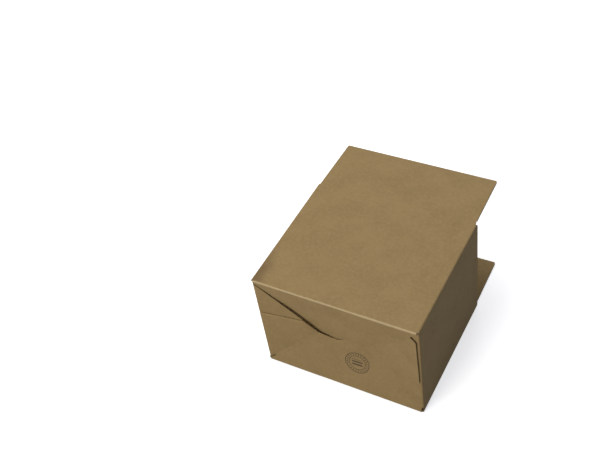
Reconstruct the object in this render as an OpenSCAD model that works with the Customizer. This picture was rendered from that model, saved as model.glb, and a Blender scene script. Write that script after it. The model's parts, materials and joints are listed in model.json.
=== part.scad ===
// Auto-bottom shipping box of corrugated board, set up and lying on one of its wide panels.
// The wide end flaps stand open in line with their panels, the side end flaps are folded in.
// X runs across the box, Y from the auto-bottom to the open end, Z up. The origin is under the
// middle of the box with its open flaps.

/* [Box] */
// Room inside across X
inside_w = 305; // [250:1:380]
// Room inside along Z as the box lies
inside_h = 215; // [190:1:260]
// Length along Y from the outer face of the auto-bottom to the fold of the side end flaps
body_l = 263; // [200:1:360]

/* [Board] */
// Thickness of the corrugated board
board_t = 3; // [2:0.1:4]
// Outer radius of every folded edge of the panels
fold_r = 2.4; // [1:0.1:3]

/* [End flaps] */
// Length of the side end flaps from their fold
side_flap_l = 110; // [60:1:120]
// Gap left between the wide end flaps when they meet in the middle
meet_gap = 1; // [0.5:0.5:10]
// Gap from the edge of a panel to the edge of the flap that it carries, along the fold
slot_w = 3.6; // [3:0.1:8]
// How far the slots between the flaps are cut past the inner edge of the side creases
slot_past = 0.25; // [0:0.25:4]
// Gap across a crease, so that a flap turns on its outer skin without rubbing
crease_gap = 0.5; // [0.4:0.05:1]
// Play between a closed wide flap and the side flaps that it covers
cover_play = 1; // [0.5:0.1:3]
// Taper of the free corners of each end flap, taken off the width at the tip
flap_taper = 2; // [0:0.5:10]
// Radius of the free corners of each end flap
flap_tip_r = 3; // [1:0.5:10]

/* [Auto-bottom] */
// Angle at which the four bottom flaps lean into the box
lean_angle = 10; // [8:0.5:11]
// Angle of a wide bottom flap where it passes behind the flaps of the opposite corner
nose_angle = 14.5; // [14:0.5:17]
// Distance along the fold from a corner to where a bottom flap starts
corner_relief = 4; // [3:0.5:8]
// Reach of the diagonal crease from its glued corner, along each side
crease_reach = 110; // [104:1:112]
// Width of the score pressed along the diagonal crease
score_w = 1.2; // [0.6:0.1:2]
// Distance of the glue tab from the folded edge beside it
tab_inset = 4; // [3:0.5:8]
// Distance along the crease, on each side, from the corner to the start of the glue tab
tab_start = 17; // [12:1:30]
// Distance from the corner at which the glue tab reaches its full width
tab_shoulder = 26; // [24:1:40]
// Length of the glue tab along the folded edge, from the corner
tab_l = 135; // [125:1:145]
// Distance of the far corner of the glue tab from the folded edge
tab_tip_in = 84; // [70:1:95]
// Distance from the glued corner to the dip in the edge of a wide bottom flap
dip_at = 139; // [130:1:142]
// Depth of a wide bottom flap at the dip
dip_d = 104.5; // [100:0.5:106]
// Length along the fold over which the edges of the two wide flaps run side by side
hook_run = 16; // [14:1:20]
// Rise of those edges over that length
hook_rise = 6; // [4:0.5:7]
// Gap between those edges
hook_gap = 1; // [0.5:0.25:2]
// Length along the fold over which the nose rises to its full depth
nose_ramp = 4.5; // [3:0.5:10]
// Depth of a wide bottom flap at its nose
nose_d = 140; // [130:1:145]
// Distance from the free side of the box to the end of the nose
nose_in = 62; // [60:1:80]
// Play between the diagonal crease and the edge of the side flap glued behind the tab
glued_play = 3; // [1:0.5:6]
// Distance of the side bottom flap from the free corner, where its slanted edge starts
side_start = 14; // [10:1:20]
// Gap between the free edge of a side bottom flap and the wide flap below it
free_gap = 0.5; // [0.3:0.1:2]

/* [Glue lap] */
// Width of the lap that joins the sheet into a sleeve
lap_w = 35; // [20:1:50]
// Distance of the lap from the outer face of the auto-bottom
lap_front = 16; // [10:1:30]
// Distance of the lap from the fold of the side end flaps
lap_back = 12; // [6:1:30]
// Slant of the two ends of the lap
lap_slant = 10; // [4:1:16]
// Slit between the raw edge of the lapped panel and the fold beside it
lap_slit = 1.2; // [0.5:0.1:3]

/* [Hidden] */

$fn = 48;
kraft = "burlywood";
kraft_dark = "tan";

outside_w = inside_w + 2 * board_t;
outside_h = inside_h + 2 * board_t;
side_fold_y = body_l;
wide_fold_y = body_l + board_t + cover_play;
crease_back = crease_gap / 2;
slot_y = side_fold_y - board_t - crease_back - slot_past;
wide_flap_l = (outside_h - meet_gap) / 2;
overall_l = wide_fold_y + wide_flap_l;
side_front_y = board_t;
over = 1;

// Puts a model drawn from its lower left front corner into the frame of the box
module placed() {
    translate([-outside_w / 2, -overall_l / 2, 0])
        children();
}

// Stands a drawing of the front face up, with its depth along Y from y_near to y_far
module front_prism(y_near, y_far) {
    translate([0, y_far, 0])
        rotate([90, 0, 0])
            linear_extrude(height = y_far - y_near)
                children();
}

// Rounded rectangle with its lower left corner at the origin
module rounded_rect(w, h, r) {
    translate([r, 0])
        square([w - 2 * r, h]);
    translate([0, r])
        square([w, h - 2 * r]);
    for (x = [r, w - r], y = [r, h - r])
        translate([x, y])
            circle(r = r);
}

// The four panels as a sleeve, from the front to the bottoms of the slots
module sleeve() {
    front_prism(0, slot_y)
        difference() {
            rounded_rect(outside_w, outside_h, fold_r);
            translate([board_t, board_t])
                square([inside_w, inside_h]);
        }
}

// Space in front of the side panels, which fold one board behind the wide ones
module side_setback() {
    for (x = [-over, outside_w - board_t])
        translate([x, -over, board_t])
            cube([board_t + over, board_t + over, inside_h]);
}

// Outline that rounds the folds along the front of the wide panels, drawn in Y and Z
module wide_front_round() {
    rotate([90, 0, 90])
        linear_extrude(height = outside_w) {
            translate([fold_r, 0])
                square([body_l, outside_h]);
            translate([0, fold_r])
                square([body_l, outside_h - 2 * fold_r]);
            for (z = [fold_r, outside_h - fold_r])
                translate([fold_r, z])
                    circle(r = fold_r);
        }
}

// Sliver that rounds the fold along the front of a side panel, at the left edge of the box
module side_front_sliver() {
    difference() {
        translate([-over, side_front_y - over, board_t])
            cube([fold_r + over, fold_r + over, inside_h]);
        translate([fold_r, side_front_y + fold_r, 0])
            cylinder(r = fold_r, h = outside_h);
    }
}

// Place of the free edge of a side bottom flap, from its glued corner, at some distance from
// the folded edge
function free_edge(in) =
    let (from = [corner_relief, outside_h - side_start], to = [crease_reach, crease_reach])
        from[1] + (to[1] - from[1]) * (in - from[0]) / (to[0] - from[0]);

// Wide bottom flap without its tab, drawn from its glued corner
module wide_bottom_panel() {
    hook_near = outside_w / 2 - hook_run / 2;
    hook_far = outside_w / 2 + hook_run / 2;
    hook_mid = (outside_h - hook_gap) / 2;
    polygon([
        [corner_relief, 0],
        [corner_relief, corner_relief],
        [crease_reach, crease_reach],
        [dip_at, dip_d],
        [hook_near, hook_mid - hook_rise / 2],
        [hook_far, hook_mid + hook_rise / 2],
        [hook_far + nose_ramp, nose_d],
        [outside_w - nose_in, nose_d],
        [outside_w - nose_in, outside_h - free_edge(nose_in) - free_gap],
        [outside_w - corner_relief - free_gap, side_start - free_gap],
        [outside_w - corner_relief, 0],
    ]);
}

// Glue tab of a wide bottom flap, drawn from the same glued corner
module glue_tab() {
    polygon([
        [tab_start, tab_start],
        [tab_inset + corner_relief / 2, tab_shoulder],
        [tab_inset, tab_l],
        [tab_tip_in, free_edge(tab_tip_in)],
        [crease_reach, crease_reach],
    ]);
}

// Side bottom flap that the tab is glued to, drawn from the same glued corner
module side_bottom_flap() {
    polygon([
        [0, corner_relief + glued_play],
        [0, outside_h - corner_relief - fold_r],
        [corner_relief, outside_h - side_start],
        [crease_reach - glued_play, free_edge(crease_reach - glued_play)],
        [corner_relief, corner_relief + glued_play],
    ]);
}

// All that lies behind a plane which passes through the front at x_start and z = 0, set back by
// some depth, and leans into the box by x_slope across and by z_slope upwards
module behind_plane(depth, x_slope, z_slope, x_start = 0) {
    length = sqrt(1 + x_slope * x_slope + z_slope * z_slope);
    translate([x_start, depth, 0])
        rotate([-asin(z_slope / length), 0, atan(x_slope)])
            translate([-2 * outside_w, 0, -2 * outside_w])
                cube([4 * outside_w, body_l, 4 * outside_w]);
}

// All that lies behind a wide bottom flap. From the glued corner the flap is flat as far as the
// crease reaches, then it twists until it is as steep as its nose.
module behind_wide_flap(depth) {
    twist_w = outside_w - 2 * crease_reach;
    intersection() {
        behind_plane(depth, 0, tan(lean_angle));
        union() {
            behind_plane(depth, (tan(nose_angle) - tan(lean_angle)) * nose_d / twist_w, tan(lean_angle), crease_reach);
            behind_plane(depth, 0, tan(nose_angle));
        }
    }
}

// All that lies behind a tab or a side bottom flap
module behind_side_flap(depth) {
    behind_plane(depth, tan(lean_angle), 0);
}

// V-shaped score along the diagonal crease, between the wide flap and its tab
module diagonal_score() {
    slope = tan(lean_angle);
    stretch = sqrt(2 + slope * slope);
    rotate([0, -45, 0])
        rotate([0, 0, atan(slope * cos(45))])
            translate([tab_start * stretch, 0, 0])
                rotate([45, 0, 0])
                    translate([0, -score_w * cos(45) / 2, -score_w * cos(45) / 2])
                        cube([crease_reach * stretch, score_w * cos(45), score_w * cos(45)]);
}

// One glued corner of the auto-bottom: wide flap, tab and the side flap behind the tab
module bottom_corner() {
    leaning_t = board_t / cos(lean_angle);
    difference() {
        union() {
            difference() {
                intersection() {
                    front_prism(0, body_l)
                        wide_bottom_panel();
                    behind_wide_flap(0);
                }
                behind_wide_flap(leaning_t);
            }
            difference() {
                intersection() {
                    front_prism(0, body_l)
                        glue_tab();
                    behind_side_flap(0);
                }
                behind_side_flap(leaning_t);
            }
        }
        diagonal_score();
    }
    difference() {
        intersection() {
            front_prism(0, body_l)
                side_bottom_flap();
            behind_side_flap(leaning_t);
        }
        behind_side_flap(2 * leaning_t);
    }
}

// The same two flaps and tab at the opposite corner of the box
module opposite_corner() {
    translate([outside_w, 0, outside_h])
        rotate([0, 180, 0])
            children();
}

// Lap folded up from the lower panel and glued inside the left panel
module glue_lap() {
    translate([board_t, 0, 0])
        rotate([0, 90, 0])
            rotate(90)
                linear_extrude(height = board_t)
                    polygon([
                        [lap_front, board_t / 2],
                        [lap_front + lap_slant, board_t + lap_w],
                        [body_l - lap_back - lap_slant, board_t + lap_w],
                        [body_l - lap_back, board_t / 2],
                    ]);
}

// End of a panel past the slots, cut to a mitre at its fold, drawn in length and thickness.
// The outer skin is at zero and the thickness is upwards.
module panel_end(fold_y) {
    polygon([
        [slot_y - over, 0],
        [fold_y - crease_back, 0],
        [fold_y - crease_back - board_t, board_t],
        [slot_y - over, board_t],
    ]);
}

// Ends of the lower and the left panel past the slots
module lower_panel_end() {
    translate([slot_w, 0, 0])
        rotate([90, 0, 90])
            linear_extrude(height = outside_w - 2 * slot_w)
                panel_end(wide_fold_y);
}

module left_panel_end() {
    translate([0, 0, slot_w])
        linear_extrude(height = outside_h - 2 * slot_w)
            mirror([1, -1])
                panel_end(side_fold_y);
}

module mirrored_across() {
    translate([outside_w, 0, 0])
        mirror([1, 0, 0])
            children();
}

module mirrored_up() {
    translate([0, 0, outside_h])
        mirror([0, 0, 1])
            children();
}

// The folded and glued sheet: four panels, the lap and the four flaps of the auto-bottom
module box_body() {
    color(kraft)
        placed()
            difference() {
                union() {
                    intersection() {
                        union() {
                            difference() {
                                sleeve();
                                side_setback();
                            }
                            bottom_corner();
                            opposite_corner()
                                bottom_corner();
                        }
                        wide_front_round();
                    }
                    lower_panel_end();
                    mirrored_up()
                        lower_panel_end();
                    left_panel_end();
                    mirrored_across()
                        left_panel_end();
                    glue_lap();
                }
                side_front_sliver();
                mirrored_across()
                    side_front_sliver();
                translate([-over, -over, board_t])
                    cube([board_t + over, body_l + 2 * over, lap_slit]);
            }
}

// End flap lying in line with its panel, drawn from its fold: the width along X, the length
// along Y, the outer skin at the bottom. Its near edge is mitred like the end of the panel.
module end_flap(width, length) {
    intersection() {
        translate([-width / 2, 0, 0])
            rotate([90, 0, 90])
                linear_extrude(height = width)
                    polygon([
                        [crease_back, 0],
                        [length, 0],
                        [length, board_t],
                        [crease_back + board_t, board_t],
                    ]);
        linear_extrude(height = board_t)
            difference() {
                polygon([
                    [-width / 2, 0],
                    [width / 2, 0],
                    [width / 2 - flap_taper, length],
                    [-width / 2 + flap_taper, length],
                ]);
                for (side = [0, 1])
                    mirror([side, 0])
                        translate([width / 2 - flap_taper, length])
                            corner_offcut(flap_tip_r, 90 + atan(flap_taper / length));
            }
    }
}

// What rounding takes off a corner with the given inner angle. The corner is at the origin, one
// edge of the sheet runs left from it and the other runs down.
module corner_offcut(r, angle) {
    reach = r / tan(angle / 2);
    side_at = [-reach * cos(angle), -reach * sin(angle)];
    difference() {
        polygon([
            [-reach, -r],
            [-reach, over],
            [over, over],
            [side_at[0] + over, side_at[1]],
            side_at,
        ]);
        translate([-reach, -r])
            circle(r = r);
    }
}

// Lower wide end flap, open in line with the lower panel
module flap_bottom() {
    color(kraft_dark)
        translate([0, wide_fold_y - overall_l / 2, 0])
            end_flap(outside_w - 2 * slot_w, wide_flap_l);
}

// Upper wide end flap, open in line with the upper panel
module flap_top() {
    color(kraft_dark)
        mirrored_up()
            translate([0, wide_fold_y - overall_l / 2, 0])
                end_flap(outside_w - 2 * slot_w, wide_flap_l);
}

// Left side end flap, folded in across the open end
module flap_left() {
    color(kraft_dark)
        translate([-outside_w / 2, side_fold_y - overall_l / 2, outside_h / 2])
            rotate([90, 90, 90])
                rotate([90, 0, 0])
                    end_flap(outside_h - 2 * slot_w, side_flap_l);
}

// Right side end flap, folded in across the open end
module flap_right() {
    mirror([1, 0, 0])
        flap_left();
}

box_body();
flap_top();
flap_bottom();
flap_left();
flap_right();
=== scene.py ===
"""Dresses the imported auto-bottom shipping box in brown kraft. Every flap is drawn as real
corrugated board, two liners with a fluted medium between them, and the sleeve as a shell."""
import json
from math import cos, exp, pi, radians, sin, sqrt, tan

import bmesh
import bpy
from mathutils import Matrix, Vector, noise


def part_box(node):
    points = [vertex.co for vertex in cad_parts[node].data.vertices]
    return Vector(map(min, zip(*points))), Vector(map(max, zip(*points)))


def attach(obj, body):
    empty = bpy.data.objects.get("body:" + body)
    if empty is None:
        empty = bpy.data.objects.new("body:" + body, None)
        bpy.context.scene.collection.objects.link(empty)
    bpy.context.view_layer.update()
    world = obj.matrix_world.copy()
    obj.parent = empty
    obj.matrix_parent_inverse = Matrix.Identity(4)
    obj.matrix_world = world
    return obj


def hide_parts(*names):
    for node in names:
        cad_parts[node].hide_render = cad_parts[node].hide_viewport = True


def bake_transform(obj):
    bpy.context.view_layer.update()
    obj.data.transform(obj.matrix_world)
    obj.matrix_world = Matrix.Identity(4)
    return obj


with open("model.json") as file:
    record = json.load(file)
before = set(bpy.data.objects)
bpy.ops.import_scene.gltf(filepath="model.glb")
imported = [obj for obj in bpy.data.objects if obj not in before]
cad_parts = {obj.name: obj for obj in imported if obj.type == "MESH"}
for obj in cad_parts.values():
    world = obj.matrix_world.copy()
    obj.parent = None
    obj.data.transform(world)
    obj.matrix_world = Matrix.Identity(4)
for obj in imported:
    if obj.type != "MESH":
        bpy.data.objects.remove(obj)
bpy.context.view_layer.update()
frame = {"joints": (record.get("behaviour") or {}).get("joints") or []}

MM = 0.001

# Camera: the photograph's view, as position in metres, the way it looks and the side that is up
CAMERA_AT = Vector((0.56507, -1.02877, 1.41218))
CAMERA_FORWARD = Vector((-0.41277, 0.58213, -0.70053))
CAMERA_UP = Vector((-0.25176, 0.66623, 0.70197))
CAMERA_LENS = 56.86
SENSOR_W = 36.0

camera = bpy.data.objects.new("camera", bpy.data.cameras.new("camera"))
bpy.context.scene.collection.objects.link(camera)
camera.data.sensor_width = SENSOR_W
camera.data.lens = CAMERA_LENS
back = -CAMERA_FORWARD.normalized()
right = CAMERA_UP.cross(back).normalized()
up = back.cross(right)
camera.matrix_world = Matrix.Translation(CAMERA_AT) @ Matrix((right, up, back)).transposed().to_4x4()
bpy.context.scene.camera = camera

# Sizes of the box, from the frame
BODY_LOW, BODY_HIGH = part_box("box_body")
LEFT, RIGHT = BODY_LOW.x, BODY_HIGH.x
FRONT = BODY_LOW.y
WIDTH = RIGHT - LEFT
HEIGHT = BODY_HIGH.z
FOLD_OF = {j["name"]: Vector(j["pos_m"]) for j in frame["joints"]}
WIDE_FOLD = FOLD_OF["top_flap_fold"].y
SIDE_FOLD = FOLD_OF["left_flap_fold"].y

# The board and its folds
BOARD = 3.0 * MM           # thickness of the board
LINER = 0.35 * MM          # each of its two skins
MEDIUM = 0.25 * MM         # the fluted sheet between them
FLUTE = 6.3 * MM           # one wave of the medium
MEDIUM_BACK = 0.25 * MM    # how far the medium stays behind a cut edge
FOLD_R = 3.4 * MM          # outer radius of a folded edge
FOLD_STRIPS = 5            # strips of faces round a fold of the auto-bottom
CORNER_STRIPS = 6          # the same round a corner of the sleeve
GLUE = 0.05 * MM           # between a tab and the flap behind it
UNEVEN = 0.35 * MM         # most that a sheet of the auto-bottom is wavy by
WAVES = 14                 # about how many such waves a metre would have
SIDE_CALM = 0.6            # share of that waviness in a side flap
CREASE_BACK = 0.25 * MM    # from the line of a fold to the board on either side
SLOT_W = 3.6 * MM          # from a panel's edge to its end flap
SLOT_D = 3.5 * MM          # from a side fold to the bottom of a slot
SLOT_Y = SIDE_FOLD - SLOT_D
TINY = 1e-6                # distance at which a cut snaps to a vertex

# Fineness of the meshes
GRID = 9.0 * MM            # size of the faces that a board is cut into
FLAT_ROWS = 8              # faces along one flute in a flat flap
BENT_ROWS = 36             # the same in a creased flap
SLEEVE_GRID = 1.2 * GRID   # length of the sleeve's faces
WAVE_POINTS = 10           # points along one wave of the medium
CORNER_R = 1.2 * MM        # radius of a flap's cut corners
ARC_SHARES = (0.0, 0.33, 0.67, 1.0)
SHARP = radians(32)        # folds steeper than this are drawn as edges

# The auto-bottom
LEAN = tan(radians(8.2))   # of the bottom flaps into the box
NOSE_LEAN = tan(radians(13.0))  # of a wide bottom flap where it passes behind the others
RELIEF = 4.0 * MM          # from a side panel to a wide bottom flap
SIDE_RELIEF = 4.4 * MM     # from a wide panel to a side bottom flap
REACH = 110.0 * MM         # how far the diagonal crease runs along both folds
TWIST = 0.86               # how fast a wide flap turns from one lean to the other
TWIST_SOFT = 8.0 * MM      # rounding of the start of that turn
CREASE_SOFT = 3.0 * MM     # rounding of the lean across the diagonal crease
SETTLE = 12.0 * MM         # from a fold to where a flap shows its full unevenness
CREASE_BAND = 6.0 * MM     # to either side of the diagonal crease, cut into finer faces
BAND_STRIPS = 6            # strips of faces on each side in that band
BAND_START = 8.0 * MM      # from the corner to the band
BAND_RUNGS = 24            # cuts across it
RIDGE_H, RIDGE_W = 0.34 * MM, 1.5 * MM  # height and width of the diagonal crease's ridge
SCORE_H, SCORE_W = 0.20 * MM, 1.4 * MM  # depth and width of the score beside it
SCORE_AT = 3.0 * MM        # from the ridge to the score
FADE_START = 6.0 * MM      # from the corner to the start of the ridge
FADE_IN, FADE_OUT = 12.0 * MM, 10.0 * MM  # lengths over which it rises and ends
TUCK = 1.5 * MM            # how far the slanted edge is pushed in
TUCK_BAND = 22.0 * MM      # width of the strip that bends for it
TUCK_FROM, TUCK_TO = 225.0 * MM, 249.0 * MM  # where along the fold it starts and is full
TUCK_RISE = 16.0 * MM      # and how far from the fold it is full
PRESSED_SHARE = 0.72       # of the board's thickness, lost at the pressed edge
PRESSED_W = 2.2 * MM       # width of the pressed strip
PRESSED_FULL, PRESSED_END = 139.0 * MM, 152.0 * MM  # along the fold: fully pressed up to, until
PRESSED_LINES = (0.7, 1.4, 2.2, 3.2, 4.6)  # cuts beside that edge, in mm from it

# The glue lap
LAP_W = 35.0 * MM
LAP_SLANT = 10.0 * MM
LAP_FRONT = 16.0 * MM      # from the front of the box to the lap
LAP_BACK = 12.0 * MM       # from the lap to the side fold
LAP_GLUE = 0.2 * MM        # between the lap and the panel
LAP_ROOT = 0.7             # where the lap starts, in board thicknesses above the ground
SLIT = 1.0 * MM            # width of the open joint at the glued corner, and of faces beside it

# The sleeve
RAW_EDGE = 0.3 * MM        # from the auto-bottom's board to the raw edges beside it
BOW_LOWER, BOW_OTHER = 0.25 * MM, 0.7 * MM  # how far a panel sags into the box

# The end flaps and their creases
TIP_TAPER = 2.0 * MM       # how much narrower a flap is at its tip, on each side
TIP_R = 3.0 * MM
FLAP_BOW = 0.35 * MM
INNER_BOW = 0.4            # share of the bow on the inner side
CREASE_REACH = 1.3 * MM    # of the skin across a fold, to each side
CREASE_TOP = 0.06 * MM     # depth of that skin's outer face below the surface
CREASE_LOW = 0.5 * MM      # and of its inner face
CREASE_STRIPS = 6
CREASE_SHORT = 0.3 * MM    # how much the skin stays behind the flap's sides


def mm(points):
    """A list of points given in millimetres, in metres."""
    return [(u * MM, v * MM) for u, v in points]


# Outlines of the auto-bottom's flaps, each drawn from its glued corner: along the fold first,
# away from it second
WIDE_BOTTOM = mm([
    (4, 0), (4, 4), (17, 17), (6, 26), (4, 135), (84, 133.8), (110, 110), (139, 104.5),
    (147.5, 107), (163.5, 113), (168, 140), (249, 140), (249, 67.5), (306.9, 14.2), (307, 0),
])
SIDE_BOTTOM = mm([
    (4.4, 0), (4.4, 4), (112.7, 107), (207, 4), (216.6, 0),
])
PRESSED_EDGE = WIDE_BOTTOM[4:8] + mm([(160, 104.5)])
SLANT = WIDE_BOTTOM[13], WIDE_BOTTOM[12]


# Materials
class Nodes:
    """Short calls for a material's node tree."""

    def __init__(self, name):
        self.material = bpy.data.materials.new(name)
        self.material.use_nodes = True
        self.tree = self.material.node_tree
        self.tree.nodes.clear()

    def put(self, value, socket):
        """Links a socket, or sets a plain value."""
        if isinstance(value, bpy.types.NodeSocket):
            self.tree.links.new(value, socket)
        elif value is not None:
            socket.default_value = value

    def add(self, kind, inputs=(), **settings):
        node = self.tree.nodes.new(kind)
        for key, value in settings.items():
            setattr(node, key, value)
        for key, value in dict(inputs).items():
            self.put(value, node.inputs[key])
        return node

    def math(self, operation, a, b=None, c=None, clamp=False):
        node = self.add("ShaderNodeMath", operation=operation, use_clamp=clamp)
        for i, value in enumerate((a, b, c)):
            self.put(value, node.inputs[i])
        return node.outputs[0]

    def mix(self, factor, a, b):
        node = self.add("ShaderNodeMix", data_type="RGBA", blend_type="MIX")
        self.put(factor, node.inputs[0])
        self.put(a, node.inputs[6])
        self.put(b, node.inputs[7])
        return node.outputs[2]

    def ramp(self, value, low, high):
        """0 up to the first limit, 1 from the second, and a smooth step between them."""
        node = self.add("ShaderNodeMapRange", {"Value": value, "From Min": low, "From Max": high})
        node.interpolation_type = "SMOOTHSTEP"
        return node.outputs[0]

    def toned(self, colour, value, low, high, share, tone):
        """Mixes a share of a tone into a colour, where a value climbs from low to high."""
        return self.mix(self.math("MULTIPLY", self.ramp(value, low, high), share), colour, tone)

    def noise(self, at, scale, detail=4.0, rough=0.55):
        inputs = {"Vector": at, "Scale": scale, "Detail": detail, "Roughness": rough}
        return self.add("ShaderNodeTexNoise", inputs).outputs["Fac"]

    def stretched(self, at, scale):
        return self.add("ShaderNodeMapping", {"Vector": at, "Scale": scale}).outputs[0]


KRAFT = (0.370, 0.248, 0.104, 1.0)
KRAFT_DEEP = (0.324, 0.214, 0.087, 1.0)
KRAFT_PALE = (0.426, 0.292, 0.130, 1.0)
# Colour of the painted highlight on the folded edges and ridges, also of the folds' paler scuffing
KRAFT_HIGHLIGHT_SCUFF = (0.600, 0.460, 0.255, 1.0)
# Colour of the darker patch on the upper panel's left front corner
KRAFT_DARK_PATCH = (0.165, 0.100, 0.046, 1.0)
SPECK = (0.15, 0.095, 0.045, 1.0)
INK = (0.075, 0.055, 0.036, 1.0)

# The printed dial on the lower bottom flap
MARK_AT = Vector((LEFT + 182.5 * MM, 0.0, 63.5 * MM))
MARK_R = 22.5 * MM
MARK_INNER_R = MARK_R * 0.68
MARK_EDGE = MARK_R * 0.03  # softness of its printed edges
RING_W, INNER_RING_W = 1.5 * MM, 1.2 * MM
TICKS = 24
TICKS_FROM, TICKS_TO = MARK_R * 0.74, MARK_R * 0.94
BAR_PITCH = 6.4 * MM
BARS_W, BARS_H = MARK_R * 0.47, MARK_R * 0.34  # half the width and height of the bars' field
INK_LEAST, INK_MORE = 0.60, 0.35  # strength of the ink in its gaps, and what full ink adds


def ring(n, distance, radius, width):
    """1 on a ring of some radius and line width, 0 elsewhere, with a soft edge."""
    off = n.math("ABSOLUTE", n.math("SUBTRACT", distance, radius))
    return n.math("SUBTRACT", 1.0, n.ramp(off, width * 0.35, width * 0.65), clamp=True)


def mark_mask(n, at):
    """A plain printed dial: two rings with ticks between them, and bars in the middle."""
    part = n.add("ShaderNodeSeparateXYZ", {"Vector": at})
    x = n.math("SUBTRACT", part.outputs[0], MARK_AT.x)
    z = n.math("SUBTRACT", part.outputs[2], MARK_AT.z)
    distance = n.math("SQRT", n.math("ADD", n.math("MULTIPLY", x, x), n.math("MULTIPLY", z, z)))
    outer_ring = ring(n, distance, MARK_R, RING_W)
    rings = n.math("MAXIMUM", outer_ring, ring(n, distance, MARK_INNER_R, INNER_RING_W))
    turn = n.math("ARCTAN2", z, x)
    tick = n.math("ABSOLUTE", n.math("SINE", n.math("MULTIPLY", turn, TICKS / 2)))
    tick = n.ramp(tick, 0.80, 0.93)
    past_inner = n.ramp(distance, TICKS_FROM, TICKS_FROM + MARK_EDGE)
    between = n.math("MULTIPLY", past_inner, n.ramp(distance, TICKS_TO, TICKS_TO - MARK_EDGE))
    bar = n.ramp(n.math("SINE", n.math("MULTIPLY", z, 2 * pi / BAR_PITCH)), -0.25, 0.05)
    wide = n.ramp(n.math("ABSOLUTE", x), BARS_W, BARS_W - MARK_EDGE)
    high = n.ramp(n.math("ABSOLUTE", z), BARS_H, BARS_H - MARK_EDGE)
    bars = n.math("MULTIPLY", bar, n.math("MULTIPLY", wide, high))
    return n.math("MAXIMUM", rings, n.math("MAXIMUM", n.math("MULTIPLY", tick, between), bars))


def kraft(name, wave_axis, marked=False):
    """Brown kraft liner: long fibres, cloudy formation, specks, the faint washboard of the
    flutes below it as bump and painted shade, a painted highlight with paler scuffing where the
    mesh's highlight_scuff_patch attribute is high, and a darker patch where it is below nought."""
    n = Nodes(name)
    at = n.add("ShaderNodeTexCoord").outputs["Object"]
    cloud = n.noise(at, 22.0, 5.0, 0.6)
    fine_cloud = n.noise(at, 150.0, 4.0, 0.65)
    fibre = n.noise(n.stretched(at, (160.0, 1500.0, 1500.0)), 1.0, 3.0, 0.6)
    cross_fibre = n.noise(n.stretched(at, (1300.0, 420.0, 420.0)), 1.0, 2.0, 0.5)
    colour = n.mix(n.ramp(cloud, 0.30, 0.72), KRAFT_DEEP, KRAFT)
    colour = n.toned(colour, fine_cloud, 0.38, 0.75, 0.55, KRAFT_PALE)
    colour = n.toned(colour, fibre, 0.46, 0.72, 0.42, KRAFT_PALE)
    colour = n.toned(colour, cross_fibre, 0.60, 0.78, 0.38, KRAFT_DEEP)
    colour = n.toned(colour, n.noise(at, 900.0, 1.0, 0.4), 0.73, 0.80, 0.55, SPECK)
    part = n.add("ShaderNodeSeparateXYZ", {"Vector": at})
    along = part.outputs["XYZ".index(wave_axis)]
    wave = n.math("SINE", n.math("MULTIPLY", along, 2 * pi / FLUTE))
    # Faint stripes of painted shade along the flutes, beside the washboard's bump
    colour = n.toned(colour, wave, -1.0, 1.0, 0.05, KRAFT_DEEP)
    highlight_scuff_patch = n.add("ShaderNodeAttribute", attribute_name="highlight_scuff_patch").outputs["Fac"]
    patchy = n.math("MULTIPLY", n.math("SUBTRACT", fine_cloud, 0.5), 0.9)
    # Painted highlight on the folded edges and diagonal ridges, with paler scuffing on the folds
    colour = n.toned(colour, n.math("ADD", highlight_scuff_patch, patchy), 0.35, 1.0, 0.8, KRAFT_HIGHLIGHT_SCUFF)
    cloudy = n.math("MULTIPLY", n.math("SUBTRACT", cloud, 0.5), 0.5)
    # Darker where the attribute is below nought: the patch on the upper panel
    colour = n.toned(colour, n.math("ADD", highlight_scuff_patch, cloudy), -0.05, -1.0, 0.62, KRAFT_DARK_PATCH)
    if marked:
        print_gaps = n.ramp(n.noise(at, 1100.0, 3.0, 0.7), 0.36, 0.56)
        strength = n.math("MULTIPLY_ADD", print_gaps, INK_MORE, INK_LEAST)
        ink = n.math("MULTIPLY", mark_mask(n, at), strength)
        colour = n.mix(ink, colour, INK)
    height = n.math("ADD", n.math("MULTIPLY", fibre, 0.05), n.math("MULTIPLY", cross_fibre, 0.03))
    height = n.math("ADD", height, n.math("MULTIPLY", fine_cloud, 0.10))
    height = n.math("ADD", height, n.math("MULTIPLY", wave, 0.05))
    bump = n.add("ShaderNodeBump", {"Height": height, "Strength": 0.55, "Distance": 0.9 * MM})
    shader = n.add("ShaderNodeBsdfPrincipled", {
        "Base Color": colour,
        "Roughness": n.math("MULTIPLY_ADD", fine_cloud, 0.16, 0.70),
        "Specular IOR Level": 0.28,
        "Normal": bump.outputs[0],
    })
    out = n.add("ShaderNodeOutputMaterial")
    n.tree.links.new(shader.outputs[0], out.inputs[0])
    return n.material


def raw_paper(name, pale, deep, scale):
    """Paper without the liner's finish: fuzzy and matt."""
    n = Nodes(name)
    at = n.add("ShaderNodeTexCoord").outputs["Object"]
    fuzz = n.noise(at, scale, 4.0, 0.7)
    colour = n.mix(n.ramp(fuzz, 0.3, 0.7), deep, pale)
    bump = n.add("ShaderNodeBump", {"Height": fuzz, "Strength": 0.6, "Distance": 0.3 * MM})
    shader = n.add("ShaderNodeBsdfPrincipled", {
        "Base Color": colour,
        "Roughness": n.math("MULTIPLY_ADD", fuzz, 0.1, 0.82),
        "Specular IOR Level": 0.15,
        "Normal": bump.outputs[0],
    })
    out = n.add("ShaderNodeOutputMaterial")
    n.tree.links.new(shader.outputs[0], out.inputs[0])
    return n.material


KRAFT_X = kraft("kraft_flutes_across_x", "X")
KRAFT_Z = kraft("kraft_flutes_across_z", "Z")
KRAFT_MARKED = kraft("kraft_with_dial", "X", marked=True)
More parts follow.
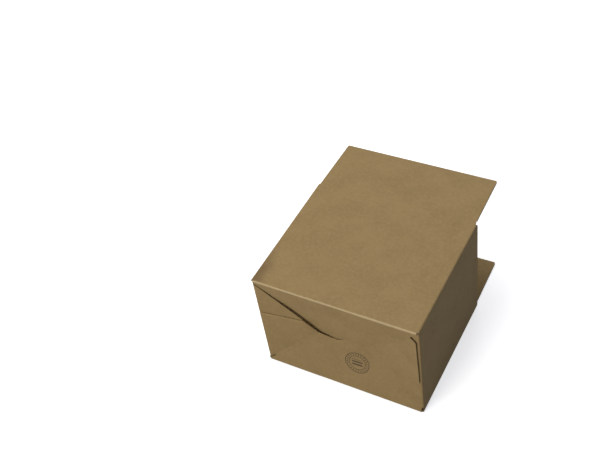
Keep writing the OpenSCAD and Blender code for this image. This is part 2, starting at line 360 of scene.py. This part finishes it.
# The cut edges and the fluting are darker than the liner: partly raw paper, partly painted shade of the
# hollows between the flutes
CUT_PALE, CUT_DEEP = (0.300, 0.208, 0.098, 1.0), (0.170, 0.113, 0.050, 1.0)
CUT = raw_paper("cut_edge", CUT_PALE, CUT_DEEP, 1400.0)
FLUTING_PALE, FLUTING_DEEP = (0.235, 0.158, 0.074, 1.0), (0.135, 0.088, 0.039, 1.0)
FLUTING = raw_paper("fluting_medium", FLUTING_PALE, FLUTING_DEEP, 600.0)

# Places of the materials in every mesh
SKIN_INDEX, CUT_INDEX, FLUTE_INDEX, KRAFT_Z_INDEX, KRAFT_X_INDEX = range(5)


# Corrugated board
def softened(outline, radius):
    """The outline with each corner taken off by a short arc."""
    count = len(outline)
    out = []
    for i in range(count):
        a, b, c = (Vector(outline[(i + k) % count]) for k in (-1, 0, 1))
        reach = min(radius, (a - b).length * 0.3, (c - b).length * 0.3)
        start, end = b + (a - b).normalized() * reach, b + (c - b).normalized() * reach
        for t in ARC_SHARES:
            p = start.lerp(b, t).lerp(b.lerp(end, t), t)
            out.append((p.x, p.y))
    return out


def steps(low, high, size):
    """Evenly spaced places strictly between two limits."""
    count = max(1, round((high - low) / size))
    return [low + (high - low) * k / count for k in range(1, count)]


def flat_faces(outline, cuts):
    """The outline as one face, cut by straight lines given as (point, normal), and a line
    given as (point, normal, chosen) only through the faces whose middle is chosen."""
    flat = bmesh.new()
    flat.faces.new([flat.verts.new((u, v, 0)) for u, v in outline])
    for point, normal, *chosen in cuts:
        faces = [f for f in flat.faces if not chosen or chosen[0](f.calc_center_median())]
        edges = {e for f in faces for e in f.edges}
        verts = {v for f in faces for v in f.verts}
        bmesh.ops.bisect_plane(
            flat, geom=list(verts) + list(edges) + faces, dist=TINY,
            plane_co=(point[0], point[1], 0), plane_no=(normal[0], normal[1], 0),
        )
    return flat


def add_slab(out, flat, near, far, place, skin=SKIN_INDEX):
    """A closed skin between two depths of the board, over the cut outline."""
    outer = {v: out.verts.new(place(v.co.x, v.co.y, near)) for v in flat.verts}
    inner = {v: out.verts.new(place(v.co.x, v.co.y, far)) for v in flat.verts}
    for f in flat.faces:
        out.faces.new([outer[v] for v in f.verts]).material_index = skin
        out.faces.new([inner[v] for v in reversed(f.verts)]).material_index = skin
    for e in flat.edges:
        if e.is_boundary:
            a, b = e.link_loops[0].vert, e.link_loops[0].link_loop_next.vert
            out.faces.new([outer[b], outer[a], inner[a], inner[b]]).material_index = CUT_INDEX


def spans(outline, u):
    """Stretches of v that lie inside the outline at one u."""
    hits = []
    for (u0, v0), (u1, v1) in zip(outline, outline[1:] + outline[:1]):
        if (u0 <= u) != (u1 <= u):
            hits.append(v0 + (v1 - v0) * (u - u0) / (u1 - u0))
    hits.sort()
    return [
        (a + MEDIUM_BACK, b - MEDIUM_BACK)
        for a, b in zip(hits[::2], hits[1::2]) if b - a > 3 * MEDIUM_BACK
    ]


def add_medium(out, outline, place, rows):
    """The fluted sheet: waves across u, straight along v, as far as the outline reaches."""
    low = min(u for u, v in outline) + MEDIUM_BACK
    high = max(u for u, v in outline) - MEDIUM_BACK
    columns = int((high - low) / (FLUTE / WAVE_POINTS))
    swing = BOARD / 2 - LINER - MEDIUM / 2
    runs, live = [], []
    for k in range(columns + 1):
        u = low + (high - low) * k / columns
        now = spans(outline, u)
        joined = len(now) == len(live) and all(
            min(b, d[-1][2]) > max(a, d[-1][1]) for (a, b), d in zip(now, live)
        )
        if not joined:
            live = [[] for _ in now]
            runs += live
        for run, (a, b) in zip(live, now):
            run.append((u, a, b))
    for run in runs:
        if len(run) < 2:
            continue
        sheets = []
        for side in (-MEDIUM / 2, MEDIUM / 2):
            sheet = []
            for u, a, b in run:
                depth = BOARD / 2 + swing * sin(2 * pi * u / FLUTE) + side
                row = [place(u, a + (b - a) * r / rows, depth) for r in range(rows + 1)]
                sheet.append([out.verts.new(at) for at in row])
            sheets.append(sheet)
        close_sheets(out, *sheets)


def close_sheets(out, first, second, index=FLUTE_INDEX, rim=FLUTE_INDEX):
    """Joins two grids of vertices into one closed sheet."""
    nu, nv = len(first), len(first[0])
    for i in range(nu - 1):
        for j in range(nv - 1):
            for grid in (first, second):
                quad = [grid[i][j], grid[i + 1][j], grid[i + 1][j + 1], grid[i][j + 1]]
                out.faces.new(quad if grid is first else quad[::-1]).material_index = index
    edge = [(i, 0) for i in range(nu)] + [(nu - 1, j) for j in range(1, nv)]
    edge += [(i, nv - 1) for i in range(nu - 2, -1, -1)] + [(0, j) for j in range(nv - 2, 0, -1)]
    for (i, j), (k, m) in zip(edge, edge[1:] + edge[:1]):
        out.faces.new([first[k][m], first[i][j], second[i][j], second[k][m]]).material_index = rim


def finished(name, bm, body, skin, highlight_scuff_patch=None):
    """Turns a bmesh into a piece, which rides on a body if one is given."""
    bmesh.ops.recalc_face_normals(bm, faces=bm.faces[:])
    for f in bm.faces:
        f.smooth = True
    for e in bm.edges:
        e.smooth = len(e.link_faces) == 2 and e.calc_face_angle(0.0) < SHARP
    mesh = bpy.data.meshes.new(name)
    bm.to_mesh(mesh)
    bm.free()
    for material in (skin, CUT, FLUTING, KRAFT_Z, KRAFT_X):
        mesh.materials.append(material)
    # Per-vertex mask for the painted highlight, the scuffing and the darker patch
    attribute = mesh.attributes.new("highlight_scuff_patch", "FLOAT", "POINT")
    if highlight_scuff_patch:
        attribute.data.foreach_set("value", [highlight_scuff_patch(v.co) for v in mesh.vertices])
    piece = bpy.data.objects.new(name, mesh)
    bpy.context.scene.collection.objects.link(piece)
    if body:
        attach(piece, body)
    return piece


def board(name, outline, place, body, skin, first_cuts=(), last_cuts=(), highlight_scuff_patch=None, corner=CORNER_R):
    """One flap of corrugated board. place(u, v, w) gives the point at u and v on the flat
    sheet and w below its outer skin. Only a creased flap has last cuts."""
    outline = softened(outline, corner) if corner else outline
    us, vs = [u for u, v in outline], [v for u, v in outline]
    aside = [lambda middle: not in_crease_band(middle)] if last_cuts else []
    cuts = [((c, 0), (1, 0), *aside) for c in steps(min(us), max(us), GRID)]
    cuts += [((0, c), (0, 1), *aside) for c in steps(min(vs), max(vs), GRID)]
    flat = flat_faces(outline, list(first_cuts) + cuts + list(last_cuts))
    bm = bmesh.new()
    inner_skin = KRAFT_X_INDEX if skin is KRAFT_MARKED else SKIN_INDEX
    add_slab(bm, flat, 0.0, LINER, place)
    add_slab(bm, flat, BOARD - LINER, BOARD, place, inner_skin)
    flat.free()
    add_medium(bm, outline, place, BENT_ROWS if last_cuts else FLAT_ROWS)
    return finished(name, bm, body, skin, highlight_scuff_patch)


# The auto-bottom
def folded(d, w):
    """Depth into the box and height along the front of a point that is d along the sheet
    from the start of a fold's arc, and w below the outer skin."""
    if d >= FOLD_R:
        return w, d
    turn = (1 - d / FOLD_R) * pi / 2
    return FOLD_R - (FOLD_R - w) * cos(turn), FOLD_R - (FOLD_R - w) * sin(turn)


def hump(distance, width):
    """1 at no distance, falling off smoothly within about twice the width."""
    return exp(-((distance / width) ** 2))


def crease_relief(u, v):
    """The diagonal crease stands proud as a soft ridge beside a shallow score, which fade out
    at both of its ends."""
    d = (u - v) / sqrt(2)
    along = (u + v) / 2
    rise = min(1.0, max(0.0, along - FADE_START) / FADE_IN)
    fade = rise * min(1.0, max(0.0, (REACH - along) / FADE_OUT))
    return fade * (SCORE_H * hump(d + SCORE_AT, SCORE_W) - RIDGE_H * hump(d, RIDGE_W))


def smooth_step(value, low, high):
    t = min(1.0, max(0.0, (value - low) / (high - low)))
    return t * t * (3 - 2 * t)


def tuck(u, v):
    """The slanted edge is pushed in a little, behind the side flap that it runs along."""
    (u0, v0), (u1, v1) = SLANT
    length = sqrt((u1 - u0) ** 2 + (v1 - v0) ** 2)
    inside = ((u - u0) * (v0 - v1) + (v - v0) * (u1 - u0)) / length
    near_edge = smooth_step(u, TUCK_FROM, TUCK_TO) * smooth_step(inside, TUCK_BAND, 0)
    return TUCK * near_edge * smooth_step(v, FOLD_R, TUCK_RISE)


def back_from_edge(u, v):
    """How far a point lies behind the edge of the glued tab and of the panel beside it."""
    for (u0, v0), (u1, v1) in zip(PRESSED_EDGE, PRESSED_EDGE[1:]):
        if u <= u1:
            break
    slope = (v1 - v0) / (u1 - u0)
    return (v0 + slope * (u - u0) - v) / sqrt(1 + slope * slope)


def pressed(u, v, w):
    """That edge is pressed flat, so that only a thin rim is left of the board."""
    share = PRESSED_SHARE * hump(back_from_edge(u, v), PRESSED_W) * smooth_step(u, PRESSED_END, PRESSED_FULL)
    return BOARD - (BOARD - w) * (1 - share)


def waviness(u, v, seed):
    """Slow unevenness of a sheet that has been folded and pressed, into the box only."""
    return UNEVEN * (0.5 + 0.5 * noise.noise(Vector((u * WAVES, v * WAVES, seed))))


def soft_min(a, b, radius):
    """The smaller of two lengths, rounded off where they meet."""
    gap = max(0.0, radius - abs(a - b)) / radius
    return min(a, b) - gap * gap * radius / 4


def lean_depth(u, v):
    """How far a wide flap and its tab lean in: flat on both sides of the diagonal crease, and
    twisted past its reach until it is as steep as the nose."""
    twist = soft_min((u - REACH) * TWIST, v, TWIST_SOFT)
    steeper = (NOSE_LEAN - LEAN) * soft_min(-twist, 0.0, TWIST_SOFT)
    return LEAN * soft_min(u, v, CREASE_SOFT) - steeper


def wide_bottom(u, v, w, seed):
    """Where a point of a wide flap lies, as distances across, into and up the box from its
    glued corner."""
    depth, height = folded(v, pressed(u, v, w))
    settle = min(1.0, max(0.0, (v - FOLD_R) / SETTLE))
    depth += lean_depth(u, v) + tuck(u, v) + (crease_relief(u, v) + waviness(u, v, seed)) * settle
    return u, depth, height


def side_bottom(q, p, w, seed):
    """The same for a side flap, q up its fold and p away from it, glued behind a tab."""
    depth, across = folded(p, w)
    behind = BOARD + GLUE + UNEVEN
    return across, behind + depth + LEAN * p + SIDE_CALM * waviness(p, q, seed), q


def lower_left(seed, shape):
    """Places a flap at the lower left corner of the auto-bottom."""
    def place(u, v, w):
        across, depth, up = shape(u, v, w, seed)
        return Vector((LEFT + across, FRONT + depth, up))
    return place


def upper_right(seed, shape):
    """Places a flap at the upper right corner, turned half round."""
    def place(u, v, w):
        across, depth, up = shape(u, v, w, seed)
        return Vector((RIGHT - across, FRONT + depth, HEIGHT - up))
    return place


def fold_cuts():
    """Lines that cut the arc of a fold, at the start of a flap, into strips."""
    return [((0, FOLD_R * k / FOLD_STRIPS), (0, 1)) for k in range(1, FOLD_STRIPS + 1)]


def in_crease_band(middle):
    """Whether a face lies beside the diagonal crease."""
    from_crease = abs(middle.x - middle.y) / sqrt(2)
    return from_crease < CREASE_BAND and (middle.x + middle.y) / 2 > BAND_START


def diagonal_cuts():
    """Lines along both sides of the diagonal crease, and then across the band between them."""
    offsets = [CREASE_BAND * k / BAND_STRIPS for k in range(-BAND_STRIPS, BAND_STRIPS + 1)]
    along = [((o * sqrt(2), 0), (1, -1)) for o in (offsets[0], offsets[-1])]
    along += [((o * sqrt(2), 0), (1, -1), in_crease_band) for o in offsets[1:-1]]
    rungs = [2 * BAND_START + GRID * k * sqrt(2) for k in range(BAND_RUNGS)]
    return along + [((rung, 0), (1, 1), in_crease_band) for rung in rungs]


def pressed_cuts():
    """Lines that follow the pressed edge."""
    cuts = []
    for (u0, v0), (u1, v1) in zip(PRESSED_EDGE, PRESSED_EDGE[1:]):
        across = Vector((v0 - v1, u1 - u0)).normalized()
        for back in PRESSED_LINES:
            def beside(middle, low=u0, high=u1):
                return low < middle.x < high and back_from_edge(middle.x, middle.y) < GRID

            cuts.append(((u0 - across.x * back * MM, v0 - across.y * back * MM), across, beside))
    return cuts


# Strength of the painted highlight on the front folds, the long folds and the diagonal ridges, with
# # paler scuffing on the folds, and how far it spreads. The front folds have a width on the front and one on
# the wide panel.
FRONT_HIGHLIGHT_SCUFF, LONG_HIGHLIGHT_SCUFF, RIDGE_HIGHLIGHT = 2.6, 1.4, 0.46
FRONT_HIGHLIGHT_SCUFF_W, LONG_HIGHLIGHT_SCUFF_W, RIDGE_HIGHLIGHT_W = (2.4 * MM, 2.2 * MM), 1.6 * MM, 1.6 * MM
PATCH_W, PATCH_L = 24 * MM, 85 * MM  # the darker patch, across and along the upper panel


def fold_highlight_scuff(co):
    """How much painted highlight and paler scuffing a point has: high on the arcs of the box's folded edges.
    """
    from_front = co.y - FRONT
    from_wide = min(co.z, HEIGHT - co.z)
    from_side = min(co.x - LEFT, RIGHT - co.x)
    on_front, on_wide = FRONT_HIGHLIGHT_SCUFF_W
    front_edge = hump(from_front, on_wide) * hump(from_wide, on_front) * FRONT_HIGHLIGHT_SCUFF
    long_edge = hump(from_side, LONG_HIGHLIGHT_SCUFF_W) * hump(from_wide, LONG_HIGHLIGHT_SCUFF_W) * LONG_HIGHLIGHT_SCUFF
    return min(1.0, front_edge + long_edge)


def sleeve_highlight_scuff_patch(co):
    """Painted highlight and scuffing on the folds, less a darker patch on the upper panel's left front
    corner.
    """
    on_top = 1.0 if co.z > HEIGHT - 2 * BOARD else 0.0
    from_left, from_front = co.x - LEFT, co.y - FRONT
    patch = on_top * hump(from_left, PATCH_W) * hump(from_front, PATCH_L)
    return fold_highlight_scuff(co) - patch


def fold_and_ridge_highlight(co):
    """Painted highlight on the folds, with their scuffing, and on the ridges of the diagonal creases."""
    lower = co.x - LEFT, co.z
    upper = RIGHT - co.x, HEIGHT - co.z
    u, v = lower if sum(lower) < sum(upper) else upper
    d = (u - v) / sqrt(2)
    on_ridge = hump(d, RIDGE_HIGHLIGHT_W) if BAND_START < v < REACH else 0.0
    return max(fold_highlight_scuff(co), RIDGE_HIGHLIGHT * on_ridge)


WIDE_CUTS = fold_cuts() + diagonal_cuts(), pressed_cuts()
for flap_name, at_corner, skin in (
    ("bottom_flap_lower", lower_left(3.1, wide_bottom), KRAFT_MARKED),
    ("bottom_flap_upper", upper_right(8.4, wide_bottom), KRAFT_X),
):
    board(flap_name, WIDE_BOTTOM, at_corner, "box", skin, *WIDE_CUTS, fold_and_ridge_highlight)
for flap_name, at_corner in (
    ("bottom_flap_left", lower_left(5.0, side_bottom)),
    ("bottom_flap_right", upper_right(9.0, side_bottom)),
):
    board(flap_name, SIDE_BOTTOM, at_corner, "box", KRAFT_Z, fold_cuts(), highlight_scuff_patch=fold_highlight_scuff)


# The sleeve
def corner_columns(centre_x, centre_z, start):
    """The sleeve's columns round one of its corners, from some angle on."""
    turns = [radians(start + 90 * k / CORNER_STRIPS) for k in range(1, CORNER_STRIPS)]
    return [
        (centre_x + FOLD_R * cos(t), centre_z + FOLD_R * sin(t), cos(t), sin(t), "corner", 0)
        for t in turns
    ]


def sleeve_columns():
    """Points round the outside of the sleeve: x, z, the way out, the panel and the place on it."""
    wide = [FOLD_R, SLOT_W, RELIEF] + steps(RELIEF, WIDTH - RELIEF, GRID)
    wide += [WIDTH - RELIEF, WIDTH - SLOT_W, WIDTH - FOLD_R]
    tall = [FOLD_R, SLOT_W, SIDE_RELIEF, SIDE_RELIEF + SLIT]
    tall += steps(SIDE_RELIEF + SLIT, HEIGHT - SIDE_RELIEF, GRID)
    tall += [HEIGHT - SIDE_RELIEF, HEIGHT - SLOT_W, HEIGHT - FOLD_R]
    far_x, far_z = WIDTH - FOLD_R, HEIGHT - FOLD_R
    out = [(a, 0.0, 0, -1, "lower", a) for a in wide]
    out += corner_columns(far_x, FOLD_R, -90)
    out += [(WIDTH, a, 1, 0, "right", a) for a in tall]
    out += corner_columns(far_x, far_z, 0)
    out += [(a, HEIGHT, 0, 1, "upper", a) for a in reversed(wide)]
    out += corner_columns(FOLD_R, far_z, 90)
    out += [(0.0, a, -1, 0, "left", a) for a in reversed(tall)]
    return out + corner_columns(FOLD_R, FOLD_R, 180)


# Ends of the sleeve's panels along y
RAW_FRONT = FRONT + BOARD + RAW_EDGE
WIDE_START = FRONT + FOLD_R
SIDE_START = FRONT + BOARD + GLUE + UNEVEN + FOLD_R
WIDE_END = WIDE_FOLD - CREASE_BACK
SIDE_END = SIDE_FOLD - CREASE_BACK


def in_sleeve(panel, a, y):
    """Whether the sleeve has board at this place."""
    if panel == "corner":
        return RAW_FRONT < y < SLOT_Y
    if panel in ("lower", "upper"):
        start = WIDE_START if RELIEF < a < WIDTH - RELIEF else RAW_FRONT
        end = WIDE_END if SLOT_W < a < WIDTH - SLOT_W else SLOT_Y
        return start < y < end
    start = SIDE_START if SIDE_RELIEF < a < HEIGHT - SIDE_RELIEF else RAW_FRONT
    end = SIDE_END if SLOT_W < a < HEIGHT - SLOT_W else SLOT_Y
    slit = panel == "left" and FOLD_R < a < SIDE_RELIEF
    return start < y < end and not slit


def panel_bow(panel, a, y):
    """How far a panel sags into the box."""
    if panel == "corner":
        return 0.0
    span = WIDTH if panel in ("lower", "upper") else HEIGHT
    along = min(1.0, max(0.0, (y - SIDE_START) / (SIDE_FOLD - SIDE_START)))
    amount = BOW_LOWER if panel == "lower" else BOW_OTHER
    return amount * sin(pi * a / span) * sin(pi * along)


def make_sleeve():
    """The four panels as one shell, made cell by cell where there is board."""
    columns = sleeve_columns()
    rows = [RAW_FRONT, WIDE_START, SIDE_START, SLOT_Y, SIDE_END, WIDE_END]
    rows = sorted(rows + steps(SIDE_START, SLOT_Y, SLEEVE_GRID))
    bm = bmesh.new()
    made = {}

    def vertex(i, j, inner):
        key = (i, j, inner)
        if key not in made:
            x, z, nx, nz, panel, a = columns[i]
            y, sunk = rows[j], panel_bow(panel, a, rows[j])
            if inner:
                sunk += BOARD
                mitred = rows[j] == (WIDE_END if panel in ("lower", "upper") else SIDE_END)
                y -= BOARD if mitred else 0.0
            made[key] = bm.verts.new((LEFT + x - nx * sunk, y, z - nz * sunk))
        return made[key]

    def cell(i, j):
        a, b = columns[i], columns[(i + 1) % len(columns)]
        if not 0 <= j < len(rows) - 1:
            return False
        panel = "corner" if "corner" in (a[4], b[4]) else a[4]
        place = (a[5] + b[5]) / 2
        return in_sleeve(panel, place, (rows[j] + rows[j + 1]) / 2)

    count = len(columns)
    for i in range(count):
        k = (i + 1) % count
        panel = columns[i][4]
        skin = KRAFT_Z_INDEX if panel in ("left", "right") else SKIN_INDEX
        for j in range(len(rows) - 1):
            if not cell(i, j):
                continue
            round_cell = (i, j), (k, j), (k, j + 1), (i, j + 1)
            outer = [vertex(*at, False) for at in round_cell]
            inner = [vertex(*at, True) for at in round_cell]
            bm.faces.new(outer).material_index = skin
            bm.faces.new(inner[::-1]).material_index = skin
            before = (i - 1) % count
            beside = [cell(i, j - 1), cell(k, j), cell(i, j + 1), cell(before, j)]
            for there, a, b in zip(beside, (0, 1, 2, 3), (1, 2, 3, 0)):
                if not there:
                    bm.faces.new([outer[b], outer[a], inner[a], inner[b]]).material_index = CUT_INDEX
    return bm


sleeve = finished("sleeve", make_sleeve(), "box", KRAFT_X, sleeve_highlight_scuff_patch)
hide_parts("box_body")


def lap(u, v, w):
    """Places the glue lap flat inside the left panel."""
    return Vector((LEFT + 2 * BOARD - w + LAP_GLUE, u, v))


LAP_NEAR, LAP_FAR = FRONT + LAP_FRONT, SIDE_FOLD - LAP_BACK
lap_outline = [
    (LAP_NEAR, BOARD * LAP_ROOT), (LAP_NEAR + LAP_SLANT, BOARD + LAP_W),
    (LAP_FAR - LAP_SLANT, BOARD + LAP_W), (LAP_FAR, BOARD * LAP_ROOT),
]
board("glue_lap", lap_outline, lap, "box", KRAFT_Z)


# The end flaps
def end_outline(width, length):
    """Outline of an end flap from its fold, a little narrower at the tip."""
    half = width / 2
    tip = half - TIP_TAPER
    sides = [(half, length / 2), (tip, length), (-tip, length), (-half, length / 2)]
    tips = softened(sides, TIP_R)[len(ARC_SHARES):-len(ARC_SHARES)]
    return [(-half, CREASE_BACK), (half, CREASE_BACK)] + tips


def mitred(v, w):
    """Near its fold a flap is cut to a mitre, further out on the inner skin than the outer."""
    reach = 2 * BOARD
    share = max(0.0, 1 - (v - CREASE_BACK) / reach)
    return v + w * share


def flap_bow(u, v, span, length):
    """How far an end flap is bowed, most at its middle."""
    return FLAP_BOW * sin(pi * min(1.0, v / length)) * cos(pi * u / span)


def end_flap(name, node, body, to_world, width, length, skin):
    """One end flap, which rides on its own body and stands in for the solid one."""
    def place(u, v, w):
        share = 1 if w < BOARD / 2 else INNER_BOW
        return to_world(u, mitred(v, w), w + flap_bow(u, v, width, length) * share)
    cuts = [((0, CREASE_BACK + 2 * BOARD), (0, 1))]
    piece = board(name, end_outline(width, length), place, body, skin, cuts, corner=0)
    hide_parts(node)


WIDE_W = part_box("flap_top")[1].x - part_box("flap_top")[0].x
WIDE_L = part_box("flap_top")[1].y - WIDE_FOLD
SIDE_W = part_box("flap_left")[1].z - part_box("flap_left")[0].z
SIDE_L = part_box("flap_left")[1].x - LEFT


# Places on the end flaps: u along the fold, v away from it and w below the outer skin
def top_place(u, v, w):
    return Vector((u, WIDE_FOLD + v, HEIGHT - w))


def bottom_place(u, v, w):
    return Vector((u, WIDE_FOLD + v, w))


def left_place(u, v, w):
    return Vector((LEFT + v, SIDE_FOLD - w, HEIGHT / 2 + u))


def right_place(u, v, w):
    return Vector((RIGHT - v, SIDE_FOLD - w, HEIGHT / 2 + u))


end_flap("end_flap_top", "flap_top", "top_flap", top_place, WIDE_W, WIDE_L, KRAFT_X)
end_flap("end_flap_bottom", "flap_bottom", "bottom_flap", bottom_place, WIDE_W, WIDE_L, KRAFT_X)
end_flap("end_flap_left", "flap_left", "left_flap", left_place, SIDE_W, SIDE_L, KRAFT_Z)
end_flap("end_flap_right", "flap_right", "right_flap", right_place, SIDE_W, SIDE_L, KRAFT_Z)


def crease_skin(name, axis, along, wall_way, flap_way, width, skin, into=None):
    """The outer liner where it crosses a fold, just below the surface, bent round the fold at rest.
    Where the flap stands straight at rest, the way into the box is given."""
    bm = bmesh.new()
    profile = []
    for depth in (CREASE_TOP, CREASE_LOW):
        row = []
        for k in range(-CREASE_STRIPS, CREASE_STRIPS + 1):
            s = CREASE_REACH * k / CREASE_STRIPS
            if into is not None:
                p = flap_way * s + into * depth
            elif s < 0:
                p = wall_way * -s + flap_way * depth
            elif s > 0:
                p = flap_way * s + wall_way * depth
            else:
                p = (flap_way + wall_way) * depth
            row.append(p)
        profile.append(row)
    ends = [-width / 2 + CREASE_SHORT, width / 2 - CREASE_SHORT]
    grids = [[[bm.verts.new(axis + along * e + p) for p in row] for e in ends] for row in profile]
    close_sheets(bm, grids[0], grids[1], SKIN_INDEX, CUT_INDEX)
    piece = finished(name, bm, None, skin)
    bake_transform(piece)


X, Y, Z = Vector((1, 0, 0)), Vector((0, 1, 0)), Vector((0, 0, 1))
top_axis, bottom_axis = Vector((0, WIDE_FOLD, HEIGHT)), Vector((0, WIDE_FOLD, 0))
left_axis, right_axis = Vector((LEFT, SIDE_FOLD, HEIGHT / 2)), Vector((RIGHT, SIDE_FOLD, HEIGHT / 2))
crease_skin("crease_top", top_axis, X, -Y, Y, WIDE_W, KRAFT_X, into=-Z)
crease_skin("crease_bottom", bottom_axis, X, -Y, Y, WIDE_W, KRAFT_X, into=Z)
crease_skin("crease_left", left_axis, Z, -Y, X, SIDE_W, KRAFT_Z)
crease_skin("crease_right", right_axis, Z, -Y, -X, SIDE_W, KRAFT_Z)


# Floor, light and world
FLOOR_HALF = 6.0           # half the side of the floor, in metres
FLOOR_DROP = 0.2 * MM      # of the floor below the box
BOUNCE = (0.23, 0.23, 0.23, 1.0)  # what the floor sends back to the box
SHOWN = (0.90, 0.90, 0.90, 1.0)   # what the camera sees of it
LIFT = 0.64                # added to what the camera sees, so that the floor is white
WHITE = (1.0, 1.0, 1.0, 1.0)
AMBIENT, AMBIENT_STRENGTH = (0.90, 0.98, 1.20, 1.0), 0.20
SOFTBOX_SIZE = 1.5         # side of each lamp, in metres
# Name, the way to it from the box, distance in metres, watts and colour of each lamp
SOFTBOXES = (
    ("front_softbox", (-0.25, -0.85, 0.47), 3.2, 52.0, (1.0, 0.985, 0.96)),
    ("top_softbox", (-0.28, 0.22, 0.95), 2.6, 24.5, (1.0, 0.985, 0.91)),
    ("rear_softbox", (-0.22, 0.88, 0.42), 3.2, 16.0, (1.0, 0.985, 0.94)),
)


def softbox(name, toward, distance, watts, colour):
    """A square lamp that looks at the middle of the box from some side."""
    toward = Vector(toward)
    light = bpy.data.lights.new(name, "AREA")
    light.energy = watts
    light.size = SOFTBOX_SIZE
    light.color = colour
    lamp = bpy.data.objects.new(name, light)
    bpy.context.scene.collection.objects.link(lamp)
    lamp.location = toward.normalized() * distance + Vector((0, 0, HEIGHT / 2))
    lamp.rotation_euler = toward.to_track_quat("Z", "Y").to_euler()


def lay_floor():
    """A floor that is white to the camera but keeps the box's shadow."""
    n = Nodes("floor")
    bounce = n.add("ShaderNodeBsdfDiffuse", {"Color": BOUNCE})
    shown = n.add("ShaderNodeBsdfDiffuse", {"Color": SHOWN})
    lift = n.add("ShaderNodeEmission", {"Color": WHITE, "Strength": LIFT})
    pale = n.add("ShaderNodeAddShader")
    n.tree.links.new(shown.outputs[0], pale.inputs[0])
    n.tree.links.new(lift.outputs[0], pale.inputs[1])
    path = n.add("ShaderNodeLightPath")
    seen = n.math("MAXIMUM", path.outputs["Is Camera Ray"], path.outputs["Is Glossy Ray"])
    both = n.add("ShaderNodeMixShader", {"Fac": seen})
    n.tree.links.new(bounce.outputs[0], both.inputs[1])
    n.tree.links.new(pale.outputs[0], both.inputs[2])
    out = n.add("ShaderNodeOutputMaterial")
    n.tree.links.new(both.outputs[0], out.inputs[0])
    mesh = bpy.data.meshes.new("floor")
    half = FLOOR_HALF
    corners = [(-half, -half, 0), (half, -half, 0), (half, half, 0), (-half, half, 0)]
    mesh.from_pydata(corners, [], [(0, 1, 2, 3)])
    mesh.materials.append(n.material)
    floor = bpy.data.objects.new("floor", mesh)
    bpy.context.scene.collection.objects.link(floor)
    floor.location.z = -FLOOR_DROP


def light_world():
    """A weak bluish light from all round, behind a white backdrop that only the camera sees."""
    world = bpy.data.worlds.new("studio")
    bpy.context.scene.world = world
    world.use_nodes = True
    tree = world.node_tree
    tree.nodes.clear()
    path = tree.nodes.new("ShaderNodeLightPath")
    ambient = tree.nodes.new("ShaderNodeBackground")
    ambient.inputs["Color"].default_value = AMBIENT
    ambient.inputs["Strength"].default_value = AMBIENT_STRENGTH
    white = tree.nodes.new("ShaderNodeBackground")
    white.inputs["Color"].default_value = WHITE
    mix = tree.nodes.new("ShaderNodeMixShader")
    output = tree.nodes.new("ShaderNodeOutputWorld")
    tree.links.new(path.outputs["Is Camera Ray"], mix.inputs[0])
    tree.links.new(ambient.outputs[0], mix.inputs[1])
    tree.links.new(white.outputs[0], mix.inputs[2])
    tree.links.new(mix.outputs[0], output.inputs[0])


lay_floor()
for lamp_values in SOFTBOXES:
    softbox(*lamp_values)
light_world()
bpy.context.scene.view_settings.view_transform = "Standard"
